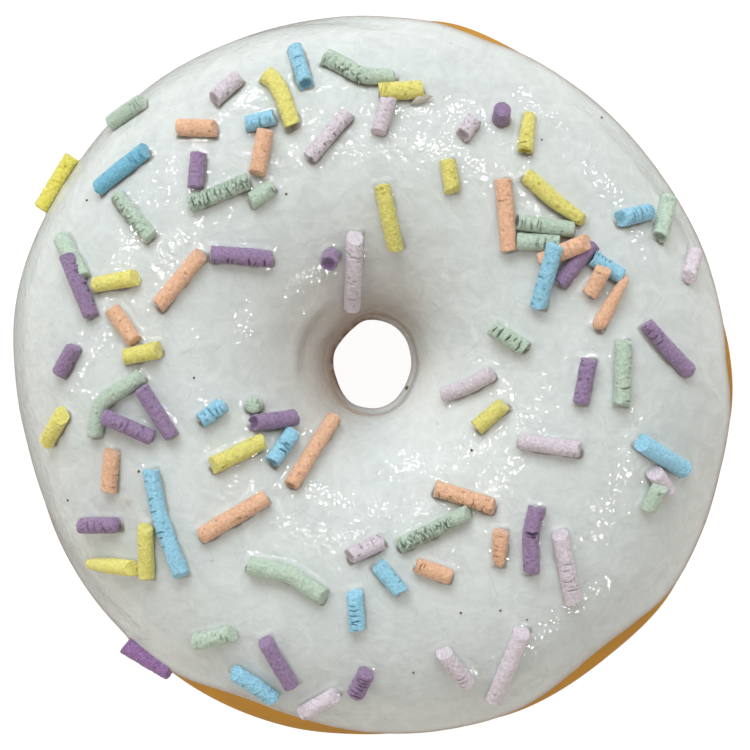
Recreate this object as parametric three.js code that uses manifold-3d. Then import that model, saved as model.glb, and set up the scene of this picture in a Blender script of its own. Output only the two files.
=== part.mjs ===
// A frosted ring doughnut with strand sprinkles, as a solid ornament. Millimetres, +Z up, +Y away.
import * as THREE from "three";
import { mergeVertices } from "three/addons/utils/BufferGeometryUtils.js";
import Module from "manifold-3d";

// Ring
const BELLY_HEIGHT = 15; // widest level of the ring above its flat base
const CROWN_RISE = 19; // icing crown above the belly
const BASE_DROP = 15.9; // depth of the lower curve below the belly, cut off flat at the base
const TOP_SQUARENESS = 2.1; // exponent of the upper half section
const BASE_SQUARENESS = 2.5; // exponent of the lower half section
const CORE_RADIUS = 28; // circle through the middle of the section

// Icing
const ICING_TOP = 2; // thickness over the crown, gap included
const ICING_SIDE = 1.2; // thickness at the belly, gap included
const GAP = 0.3; // clearance between icing and dough
const INNER_EDGE = 12; // height of the inner icing edge in the hole
const BEAD = 0.2; // fullness of the rolled edge
const GROOVE = 0.14; // hollow above the rolled edge

// Strands
const STRAND_RADIUS = 1.13;
const REST_HEIGHT = 0.75; // centre line above the icing, so a strand is sunk about a third
const STRAND_SIDES = 6;
const STRAND_STEP = 6.5; // longest straight run before a strand follows the curve

// Mesh
const AROUND = 72;
const ICING_ROWS = 17;
const LINING_ROWS = 14;
const DOUGH_ROWS = 26;

// Distance of the outline from the centre: [bearing in degrees, radius in mm]
const OUTLINE = [
  [-176, 49.4], [-167, 48.85], [-150, 49.1], [-136, 49.8], [-124, 50.9], [-104, 51.3], [-92, 51],
  [-79, 51], [-66, 52], [-50, 52.05], [-37, 52.4], [-26, 51.25], [-16, 50.65], [-5, 51.25],
  [5, 50.75], [17, 49.5], [35, 48.85], [54, 49.45], [67, 50.55], [78, 51.25], [88, 50.1],
  [97, 49.85], [112, 50.35], [127, 50.75], [146, 50.45], [168, 50.6],
];
// Height of the outer icing edge: [bearing, height]; where it is drawn up the dough is bare
const OUTER_EDGE = [
  [-165, 11.5], [-148, 17], [-124, 23.6], [-113, 26.4], [-102, 26], [-90, 23.8], [-79, 22.5],
  [-66, 23.9], [-53, 25.8], [-43, 25.2], [-35.5, 23.6], [-20, 21.5], [-6, 23.7], [2, 24.7],
  [9, 23.4], [24, 20], [46, 20.5], [64.5, 23.6], [73, 25], [81.5, 23.6], [100, 16], [122, 12],
  [150, 11], [175, 12.5],
];
// Distance of the hole's wall from the centre: [bearing, radius]
const HOLE = [
  [-175, 4.9], [-153, 4.7], [-129, 4.7], [-103, 4.5], [-77, 4.5], [-51, 4.5], [-26, 4.55],
  [-4, 4.9], [15, 5.5], [33, 6.1], [49, 6.8], [66, 7.35], [82, 7.6], [98, 7.6], [114, 6.9],
  [130, 6.4], [147, 6.1], [165, 5.5],
];

// Strands by colour, each a run of [x, y, lift off the resting height] on the icing
const STRANDS = {
  yellow: [
    [[-14.7, 40.6], [-13.3, 39.6], [-12.2, 37.9], [-11.3, 35.3], [-10.6, 33.1]],
    [[1, 37.9], [6.8, 38.2]],
    [[21.1, 35.2], [20.4, 29.9]],
    [[10, 28.8], [10.7, 24.3]],
    [[1.2, 25.6], [3.1, 16.9]],
    [[20.3, 26.9], [24.1, 23.5], [28.3, 20.5]],
    [[-37.3, 12.1], [-31.3, 13.1]],
    [[-33.1, 2.5], [-28.1, 3.5]],
    [[-41.5, -4.9], [-44.2, -9.2]],
    [[-38.7, -25.5], [-35.1, -25.7], [-31.7, -25.9]],
    [[-30.3, -19.9], [-30.3, -27.5]],
    [[13.8, -7.1], [17.6, -3.8]],
    [[-21.5, -12.1], [-14.5, -8.7]],
  ],
  blue: [
    [[-37.2, 25.1], [-30.3, 30.4]],
    [[-10.6, 44.5], [-8.9, 38.8]],
    [[-16.9, 33.6], [-13.1, 34.5]],
    [[33, 21], [37.5, 22.1]],
    [[24.3, 17.4, 1.9], [22, 8.9]],
    [[29.3, 15.8], [33.3, 13.2]],
    [[35.5, -8.7], [42.3, -12.9]],
    [[-29.6, -12.5], [-28.4, -18.6], [-25.4, -27]],
    [[-19, -39.8], [-15.8, -41.8], [-13.1, -43.9]],
    [[-2.4, -28.6], [-2, -33.9]],
    [[0.6, -25], [3.9, -28.9]],
    [[-22.9, -6.1], [-19.8, -3.8]],
    [[-13.4, -11.6], [-10.6, -7.6]],
  ],
  green: [
    [[-35.8, 34.4], [-31.1, 37.4]],
    [[-34.4, 24.3], [-29.5, 18.3]],
    [[-6.3, 42.9], [-1.4, 40.3], [3.1, 39.9]],
    [[-24.4, 22.7], [-16.5, 25.9]],
    [[-16.3, 23.1], [-13.1, 25.2]],
    [[40.4, 24], [38.7, 18.6]],
    [[19, 20.5], [27, 19.4]],
    [[19.2, 17.9], [24.8, 17.6]],
    [[33.5, 4.8], [33.2, -4.1]],
    [[16, 6.4], [20.5, 3.5]],
    [[-42.2, 18.8], [-38.8, 13.1]],
    [[-30.7, 0], [-33.2, -1.7], [-35.5, -3.2], [-36.6, -4.8], [-37.2, -8.2]],
    [[-23.9, -35.9], [-18.4, -34.4]],
    [[-16.6, -25.2], [-10.9, -26.5], [-6.1, -29.7]],
    [[3.5, -22.8], [13, -18.1, 0.5]],
    [[38.6, -14.6, 1.2], [36.9, -18.2]],
    [[-15.9, -4, -1.2], [-15.9, -3.9, 0.4]],
  ],
  violet: [
    [[-23.2, 29.7], [-23.6, 25]],
    [[17.1, 34.2, -1], [17.4, 35.5, 1.6]],
    [[29.4, 17.6], [24.9, 12.2]],
    [[36.6, 7], [39.6, 3.5], [42.9, 0.3]],
    [[28.9, 2.3], [27.7, -3.8]],
    [[-5.4, 16.3, -1], [-5.8, 14.9, 1.2]],
    [[-21.5, 16.2], [-13.1, 15.5]],
    [[-41, 16.1, 1], [-37.5, 7.8]],
    [[-39.9, 3.9], [-42.2, 0.1]],
    [[-30.8, -1.6, 1], [-26.6, -8.2]],
    [[-36, -5.4, 1], [-29.2, -8.3]],
    [[-39.6, -20.3], [-34, -20]],
    [[-14.5, -35.2], [-10.8, -41.8]],
    [[-0.8, -39.7, 0.4], [-2.3, -42.9]],
    [[22, -17.4], [21.2, -20.6], [21.1, -23.2], [21.2, -26.4]],
    [[-16.2, -6.4], [-10.3, -5.6]],
  ],
  pink: [
    [[-21.4, 37], [-17.9, 40.2]],
    [[-3.3, 35], [-8.4, 29]],
    [[2.2, 37, 1], [0.7, 32.1]],
    [[13.7, 34.4], [11.9, 31.8]],
    [[43.9, 16.8], [42.6, 13.1]],
    [[9.5, -2.6], [12.8, -1.4], [16, 0.3]],
    [[-2.3, 18.9], [-2.8, 9]],
    [[-4.8, -42.8], [-9.5, -45.7]],
    [[-3.3, -24.2], [1.5, -22]],
    [[19.5, -8.7], [27.8, -9.9]],
    [[24.9, -20.8], [26.9, -30.4]],
    [[37.6, -12.7], [39.7, -15.7]],
    [[9.3, -36.7], [12.9, -41.6]],
    [[20.2, -34], [16.2, -44.2]],
  ],
  orange: [
    [[-26.1, 33.3], [-20.9, 33]],
    [[-14.2, 32.9, 0.9], [-15.4, 26.5]],
    [[17.4, 26.3], [18.2, 16.6]],
    [[22.3, 15.2], [28.9, 17.9, 1.6]],
    [[30.9, 14.4, 1.5], [28.8, 10.6]],
    [[34, 13, 0.8], [32.8, 11.4, 0.6], [31.2, 8.5], [29.9, 6.2]],
    [[-22.6, 16.4], [-28.6, 9.2]],
    [[-34.9, 9.1], [-31.5, 4.4]],
    [[-34.8, -9.9], [-35.3, -15.5]],
    [[5.8, -25.2], [10.6, -26.9]],
    [[8.2, -15], [16.3, -17.5]],
    [[17.1, -20.5], [16.8, -25.4]],
    [[-5.1, -5.5], [-10.9, -14.7]],
    [[-23, -21.5], [-14.1, -16.2]],
  ],
};
// Two strands cling to the side of the ring, their ends given as [x, y, z]
const SIDE_STRANDS = [
  [[-41.3, 30.1, 18.3], [-45.7, 22.9, 18.3]],
  [[-34.1, -36.8, 21.4], [-27.5, -40.5, 23.2]],
];

const wasm = await Module();
wasm.setup();

const rad = THREE.MathUtils.degToRad;

// Smooth closed curve through [bearing, value] places, listed in rising order.
function curveThrough(places, bearing) {
  const n = places.length;
  const first = places[0][0];
  const b = THREE.MathUtils.euclideanModulo(bearing - first, 360) + first;
  const k = places.findLastIndex(([at]) => at <= b);
  const [[a0, v0], [a1, v1], [a2, v2], [a3, v3]] = [k - 1, k, k + 1, k + 2].map((i) => {
    const turn = Math.floor(i / n);
    const [at, value] = places[i - turn * n];
    return [at + 360 * turn, value];
  });
  const gap = a2 - a1;
  const t = (b - a1) / gap;
  const slope1 = (gap * (v2 - v0)) / (a2 - a0);
  const slope2 = (gap * (v3 - v1)) / (a3 - a1);
  const [t2, t3] = [t * t, t * t * t];
  return (2 * t3 - 3 * t2 + 1) * v1 + (t3 - 2 * t2 + t) * slope1 + (3 * t2 - 2 * t3) * v2 + (t3 - t2) * slope2;
}

// Size of the section at a bearing: side and top are how far it is drawn in from the icing skin.
function sectionAt(bearing, side, top) {
  const outer = curveThrough(OUTLINE, bearing) - side;
  const inner = curveThrough(HOLE, bearing) + side;
  return { middle: (outer + inner) / 2, half: (outer - inner) / 2, rise: CROWN_RISE - top };
}

// Point of a section at phase 0 (outer belly) to 180 (hole belly) over the crown, negative below it.
function sectionPoint(section, phase) {
  const c = Math.cos(rad(phase));
  const s = Math.sin(rad(phase));
  const power = 2 / (s < 0 ? BASE_SQUARENESS : TOP_SQUARENESS);
  const reach = s < 0 ? BASE_DROP : section.rise;
  const r = section.middle + Math.sign(c) * section.half * Math.abs(c) ** power;
  const z = BELLY_HEIGHT + Math.sign(s) * reach * Math.abs(s) ** power;
  return new THREE.Vector2(r, Math.max(z, 0));
}

// Phase at which the outer flank of a section has a given height.
function phaseAtHeight(section, z) {
  const up = z >= BELLY_HEIGHT;
  const share = (z - BELLY_HEIGHT) / (up ? section.rise : BASE_DROP);
  const power = (up ? TOP_SQUARENESS : BASE_SQUARENESS) / 2;
  return THREE.MathUtils.radToDeg(Math.asin(Math.sign(share) * Math.abs(share) ** power));
}

// Closed body swept round the ring from one closed row of [r, z] points for each bearing.
function sweep(rowAt) {
  const rows = [];
  for (let i = 0; i < AROUND; i++) rows.push(rowAt((360 * i) / AROUND));
  const n = rows[0].length;
  const positions = [];
  const index = [];
  rows.forEach((row, i) => {
    const a = rad((360 * i) / AROUND);
    for (const p of row) positions.push(p.x * Math.cos(a), p.x * Math.sin(a), p.y);
  });
  for (let i = 0; i < AROUND; i++) {
    const next = (i + 1) % AROUND;
    for (let j = 0; j < n; j++) {
      const k = (j + 1) % n;
      const [a, b, c, d] = [i * n + j, next * n + j, next * n + k, i * n + k];
      if (bulge(positions, a, c) > bulge(positions, b, d)) index.push(a, b, c, a, c, d);
      else index.push(a, b, d, b, c, d);
    }
  }
  return geometryOf(positions, index);
}

// How far out from the ring's core circle the middle of a line between two points lies.
function bulge(positions, a, b) {
  const [x, y, z] = [0, 1, 2].map((i) => (positions[3 * a + i] + positions[3 * b + i]) / 2);
  return Math.hypot(Math.hypot(x, y) - CORE_RADIUS, z - BELLY_HEIGHT);
}

function geometryOf(positions, index) {
  const geometry = new THREE.BufferGeometry();
  geometry.setAttribute("position", new THREE.Float32BufferAttribute(positions, 3));
  geometry.setIndex(index);
  return geometry;
}

// Whole section drawn in from the icing skin.
function ringRow(bearing, side, top) {
  const section = sectionAt(bearing, side, top);
  const row = [];
  for (let j = 0; j < DOUGH_ROWS; j++) row.push(sectionPoint(section, (360 * j) / DOUGH_ROWS));
  return row;
}

// Closed outline of the icing: its skin from outer to inner edge, then its lining back.
function icingRow(bearing) {
  const skin = sectionAt(bearing, 0, 0);
  const lining = sectionAt(bearing, ICING_SIDE - GAP, ICING_TOP - GAP);
  const from = phaseAtHeight(skin, curveThrough(OUTER_EDGE, bearing));
  const to = 180 - phaseAtHeight(skin, INNER_EDGE);
  const row = [];
  for (let j = 0; j < ICING_ROWS; j++) {
    const t = j / (ICING_ROWS - 1);
    const phase = from + (to - from) * (0.75 * t + 0.25 * t * t);
    const p = sectionPoint(skin, phase);
    const ahead = sectionPoint(skin, phase + 0.5).sub(p).normalize();
    const along = p.distanceTo(sectionPoint(skin, from));
    const fullness = BEAD * Math.exp(-((along / 1.6) ** 2)) - GROOVE * Math.exp(-(((along - 4) / 1.5) ** 2));
    row.push(p.add(new THREE.Vector2(ahead.y, -ahead.x).multiplyScalar(fullness)));
  }
  const back = [];
  for (let j = 0; j < LINING_ROWS; j++) {
    back.push(sectionPoint(lining, to + ((from - to) * j) / (LINING_ROWS - 1)));
  }
  return [...row, lip(row.at(-1), back[0]), ...back, lip(back.at(-1), row[0])];
}

// Point that rounds an icing edge between the skin and the lining.
function lip(a, b) {
  const across = b.clone().sub(a);
  return a.clone().add(b).multiplyScalar(0.5).add(new THREE.Vector2(-across.y, across.x).multiplyScalar(-0.35));
}

// Height of the icing skin over a plan position.
function skinHeight(x, y) {
  const section = sectionAt(THREE.MathUtils.radToDeg(Math.atan2(y, x)), 0, 0);
  const share = Math.min(1, Math.abs(Math.hypot(x, y) - section.middle) / section.half);
  return BELLY_HEIGHT + section.rise * (1 - share ** TOP_SQUARENESS) ** (1 / TOP_SQUARENESS);
}

// Point on the icing at a plan position, raised along the skin's normal.
function onSkin(x, y, height) {
  const d = 0.05;
  const normal = new THREE.Vector3(
    (skinHeight(x - d, y) - skinHeight(x + d, y)) / (2 * d),
    (skinHeight(x, y - d) - skinHeight(x, y + d)) / (2 * d),
    1,
  ).normalize();
  // the plan position is where the raised point is seen from above
  const foot = new THREE.Vector3(x - normal.x * height, y - normal.y * height, 0);
  foot.z = skinHeight(foot.x, foot.y);
  return foot.addScaledVector(normal, height);
}

// Run of points along a strand, with extra ones where it is long.
function strandPath(run) {
  const path = [];
  for (let i = 0; i < run.length - 1; i++) {
    const [x0, y0, lift0 = 0] = run[i];
    const [x1, y1, lift1 = 0] = run[i + 1];
    const steps = Math.max(1, Math.round(Math.hypot(x1 - x0, y1 - y0) / STRAND_STEP));
    for (let k = i ? 1 : 0; k <= steps; k++) {
      const t = k / steps;
      const height = REST_HEIGHT + lift0 + (lift1 - lift0) * t;
      path.push(onSkin(x0 + (x1 - x0) * t, y0 + (y1 - y0) * t, height));
    }
  }
  return path;
}

// A strand: a bar of six sides along a path, cut square at both ends.
function strand(path) {
  const positions = [];
  const index = [];
  const n = STRAND_SIDES;
  path.forEach((p, i) => {
    const before = path[Math.max(i - 1, 0)];
    const after = path[Math.min(i + 1, path.length - 1)];
    const along = after.clone().sub(before).normalize();
    const up = Math.abs(along.z) > 0.8 ? new THREE.Vector3(1, 0, 0) : new THREE.Vector3(0, 0, 1);
    const side = new THREE.Vector3().crossVectors(along, up).normalize();
    const top = new THREE.Vector3().crossVectors(side, along);
    for (let k = 0; k < n; k++) {
      const a = (2 * Math.PI * k) / n;
      const v = p.clone().addScaledVector(side, STRAND_RADIUS * Math.cos(a));
      v.addScaledVector(top, STRAND_RADIUS * Math.sin(a));
      positions.push(v.x, v.y, v.z);
    }
  });
  for (let i = 0; i < path.length - 1; i++) {
    for (let k = 0; k < n; k++) {
      const [a, b] = [i * n + k, i * n + ((k + 1) % n)];
      index.push(a, b + n, b, a, a + n, b + n);
    }
  }
  const last = (path.length - 1) * n;
  for (let k = 1; k < n - 1; k++) {
    index.push(0, k, k + 1);
    index.push(last, last + k + 1, last + k);
  }
  return geometryOf(positions, index);
}

function solid(geometry) {
  const merged = mergeVertices(geometry, 1e-4);
  return new wasm.Manifold(
    new wasm.Mesh({
      numProp: 3,
      vertProperties: new Float32Array(merged.attributes.position.array),
      triVerts: new Uint32Array(merged.index.array),
    }),
  );
}

// The icing with every strand fused on, each strand cut off half way through the icing.
function icingWithStrands() {
  const paths = Object.values(STRANDS).flat().map(strandPath);
  for (const ends of SIDE_STRANDS) paths.push(ends.map((p) => new THREE.Vector3(...p)));
  const core = solid(sweep((bearing) => ringRow(bearing, (ICING_SIDE - GAP) / 2, (ICING_TOP - GAP) / 2)));
  let body = solid(sweep(icingRow));
  for (const path of paths) body = body.add(solid(strand(path)).subtract(core));
  const whole = body.decompose().sort((a, b) => b.volume() - a.volume())[0];
  const mesh = whole.getMesh();
  return geometryOf(Array.from(mesh.vertProperties), Array.from(mesh.triVerts));
}

const doughMaterial = new THREE.MeshStandardMaterial({ color: "#b98843", roughness: 0.6, metalness: 0 });
const icingMaterial = new THREE.MeshStandardMaterial({ color: "#d3d9d5", roughness: 0.2, metalness: 0 });

const group = new THREE.Group();
group.name = "doughnut";
const parts = {
  dough: [sweep((bearing) => ringRow(bearing, ICING_SIDE, ICING_TOP)), doughMaterial],
  icing: [icingWithStrands(), icingMaterial],
};
for (const [name, [geometry, material]] of Object.entries(parts)) {
  const mesh = new THREE.Mesh(geometry, material);
  mesh.name = name;
  group.add(mesh);
}

export default group;
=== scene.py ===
"""A frosted ring doughnut with strand sprinkles, made as a solid clay ornament under a thick clear glaze."""
import math
import random

import bpy
import numpy as np
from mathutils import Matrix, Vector, noise


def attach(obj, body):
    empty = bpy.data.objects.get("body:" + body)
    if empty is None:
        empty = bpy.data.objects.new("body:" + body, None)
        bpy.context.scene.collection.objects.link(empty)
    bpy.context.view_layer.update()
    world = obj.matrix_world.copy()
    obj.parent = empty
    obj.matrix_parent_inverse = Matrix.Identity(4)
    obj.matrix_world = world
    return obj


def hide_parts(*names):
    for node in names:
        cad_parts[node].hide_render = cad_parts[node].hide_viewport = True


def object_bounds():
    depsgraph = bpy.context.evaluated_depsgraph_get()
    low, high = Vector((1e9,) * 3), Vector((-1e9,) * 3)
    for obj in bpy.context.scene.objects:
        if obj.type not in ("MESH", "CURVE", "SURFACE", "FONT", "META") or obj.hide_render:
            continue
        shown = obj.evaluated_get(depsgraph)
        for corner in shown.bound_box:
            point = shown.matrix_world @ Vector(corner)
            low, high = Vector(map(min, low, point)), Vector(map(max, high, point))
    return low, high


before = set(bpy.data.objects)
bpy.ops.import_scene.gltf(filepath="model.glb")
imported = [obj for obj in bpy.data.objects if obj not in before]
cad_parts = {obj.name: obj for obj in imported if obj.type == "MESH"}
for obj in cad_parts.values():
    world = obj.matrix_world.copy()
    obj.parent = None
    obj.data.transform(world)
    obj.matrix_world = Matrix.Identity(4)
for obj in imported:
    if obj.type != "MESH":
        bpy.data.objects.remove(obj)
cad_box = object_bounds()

# ---------------------------------------------------------------- sizes, in millimetres
MM = 0.001
A_HAIR_IN = 0.9998  # the meshes fill this share of the solids' box at most
LIMITS = np.array([list(corner) for corner in cad_box]) * A_HAIR_IN

# Ring
BELLY_HEIGHT = 15.0  # the ring is widest at this height
CROWN_RISE = 19.0
BASE_DROP = 15.9  # a little more than the belly's height, so the base is flat
TOP_SQUARENESS = 2.1
BASE_SQUARENESS = 2.5
HOLE_SHIFT = 1.45  # the hole lies this far towards +Y

# Icing
ICING_TOP = 2.0
ICING_SIDE = 1.2
INNER_EDGE = 12.0  # height of the icing's edge in the hole
BEAD = 0.2  # the rolled outer edge stands out this far
GROOVE = 0.14
SEATING = 0.05  # the lining sinks this far into the dough, so no gap shows
DRAWN_IN = 0.08  # the coat lies this far inside its nominal skin, and its relief stays within it
CLIMB = 0.12  # how far the wet icing crept up against a strand
CLIMB_REACH = 0.6
SHADOW_WAY = (0.3, -0.954)  # the plan way away from the main light; painted shadow lies on this side of each strand
FOLD_BEARING, FOLD_HALF = 158, 34  # where the coat folds as it turns down into the hole
SHADED_WALL_BEARING = 150  # the side of the hole whose wall faces away from the main light and carries painted shade
RIM_LINE = 8.6  # from the inner edge to a brown line round the hole
FAR = 9.0  # away from any strand

# Fineness of the meshes
AROUND = 640
ICING_ROWS = 118
LINING_ROWS = 16
LIP_ROWS = 5
DOUGH_AROUND = 360
DOUGH_ROWS = 72

# Distance of the outline from the centre: (bearing in degrees, radius)
OUTLINE = [
    (-176, 49.4), (-167, 48.85), (-150, 49.1), (-136, 49.8), (-124, 50.9), (-104, 51.3), (-92, 51), (-79, 51),
    (-66, 52), (-50, 52.05), (-37, 52.4), (-26, 51.25), (-16, 50.65), (-5, 51.25), (5, 50.75), (17, 49.5),
    (35, 48.85), (54, 49.45), (67, 50.55), (78, 51.25), (88, 50.1), (97, 49.85), (112, 50.35), (127, 50.75),
    (146, 50.45), (168, 50.6)]
# Height of the outer icing edge: (bearing, height); where it is drawn up the dough is bare
OUTER_EDGE = [
    (-165, 11.5), (-148, 17), (-124, 23.6), (-113, 26.4), (-102, 26), (-90, 23.8), (-79, 22.5), (-66, 23.9),
    (-53, 25.8), (-43, 25.2), (-35.5, 23.6), (-20, 21.5), (-6, 23.7), (2, 24.7), (9, 23.4), (24, 20),
    (46, 20.5), (64.5, 23.6), (73, 25), (81.5, 23.6), (100, 16), (122, 12), (150, 11), (175, 12.5)]
# Distance of the hole's wall from the centre: (bearing, radius)
HOLE = [
    (-175, 4.9), (-153, 4.7), (-129, 4.7), (-103, 4.5), (-77, 4.5), (-51, 4.5), (-26, 4.55), (-4, 4.9),
    (15, 5.5), (33, 6.1), (49, 6.8), (66, 7.35), (82, 7.6), (98, 7.6), (114, 6.9), (130, 6.4), (147, 6.1),
    (165, 5.5)]
# Strands
STRAND_RADIUS = 1.13
REST_HEIGHT = 0.75
BEND = 3.2  # a strand follows the icing in steps of about this length
STRAND_STEP = 0.09  # length of one ring of a strand's skin
STRAND_SIDES = 44
RUN_ON = 2  # a strand's centre line is drawn on this far past its ends


# ---------------------------------------------------------------- the ring's form
def curve_through(knots, bearing):
    """Smooth closed curve through (bearing, value) places."""
    at, value = np.array(knots[-1:] + knots + knots[:2], float).T
    at[0] -= 360
    at[-2:] += 360
    b = (np.asarray(bearing, float) - at[1]) % 360 + at[1]
    k = np.clip(np.searchsorted(at, b, side="right") - 1, 1, len(at) - 3)
    slope = (value[2:] - value[:-2]) / (at[2:] - at[:-2])
    gap = at[k + 1] - at[k]
    t = (b - at[k]) / gap
    return ((2 * t ** 3 - 3 * t ** 2 + 1) * value[k] + (t ** 3 - 2 * t ** 2 + t) * gap * slope[k - 1]
            + (3 * t ** 2 - 2 * t ** 3) * value[k + 1] + (t ** 3 - t ** 2) * gap * slope[k])


def section_at(bearing, side=0.0, top=0.0):
    """Middle, half width and rise of the ring's section, drawn in from the icing skin by side and top."""
    outer = curve_through(OUTLINE, bearing) - side
    inner = curve_through(HOLE, bearing) + side
    return (outer + inner) / 2, (outer - inner) / 2, CROWN_RISE - top


def section_point(section, phase):
    """Radius and height at phase 0 (outer belly) to 180 (hole belly) over the crown, negative below."""
    middle, half, rise = section
    c, s = np.cos(np.radians(phase)), np.sin(np.radians(phase))
    power = np.where(s < 0, 2 / BASE_SQUARENESS, 2 / TOP_SQUARENESS)
    reach = np.where(s < 0, BASE_DROP, rise)
    r = middle + np.sign(c) * half * np.abs(c) ** power
    z = BELLY_HEIGHT + np.sign(s) * reach * np.abs(s) ** power
    return r, np.maximum(z, 0)


def phase_at_height(section, z):
    up = z >= BELLY_HEIGHT
    share = (z - BELLY_HEIGHT) / np.where(up, section[2], BASE_DROP)
    power = np.where(up, TOP_SQUARENESS, BASE_SQUARENESS) / 2
    return np.degrees(np.arcsin(np.sign(share) * np.abs(share) ** power))


def skin_height(x, y):
    middle, half, rise = section_at(np.degrees(np.arctan2(y, x)))
    share = np.minimum(1, np.abs(np.hypot(x, y) - middle) / half)
    return BELLY_HEIGHT + rise * (1 - share ** TOP_SQUARENESS) ** (1 / TOP_SQUARENESS)


def skin_normal(x, y, d=0.05):
    n = np.array([(skin_height(x - d, y) - skin_height(x + d, y)) / (2 * d),
                  (skin_height(x, y - d) - skin_height(x, y + d)) / (2 * d), 1.0])
    return n / np.linalg.norm(n)


def on_skin(x, y, height):
    """Point over a plan position, raised off the icing along its normal."""
    n = skin_normal(x, y)
    fx, fy = x - n[0] * height, y - n[1] * height
    return np.array([fx, fy, float(skin_height(fx, fy))]) + n * height


# ---------------------------------------------------------------- the strands, as they were dropped
def lay(*points, **looks):
    """One strand: its run of (x, y) or (x, y, lift) on the icing, and how its clay came out."""
    return [tuple(p) + (0.0,) * (3 - len(p)) for p in points], looks


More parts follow.
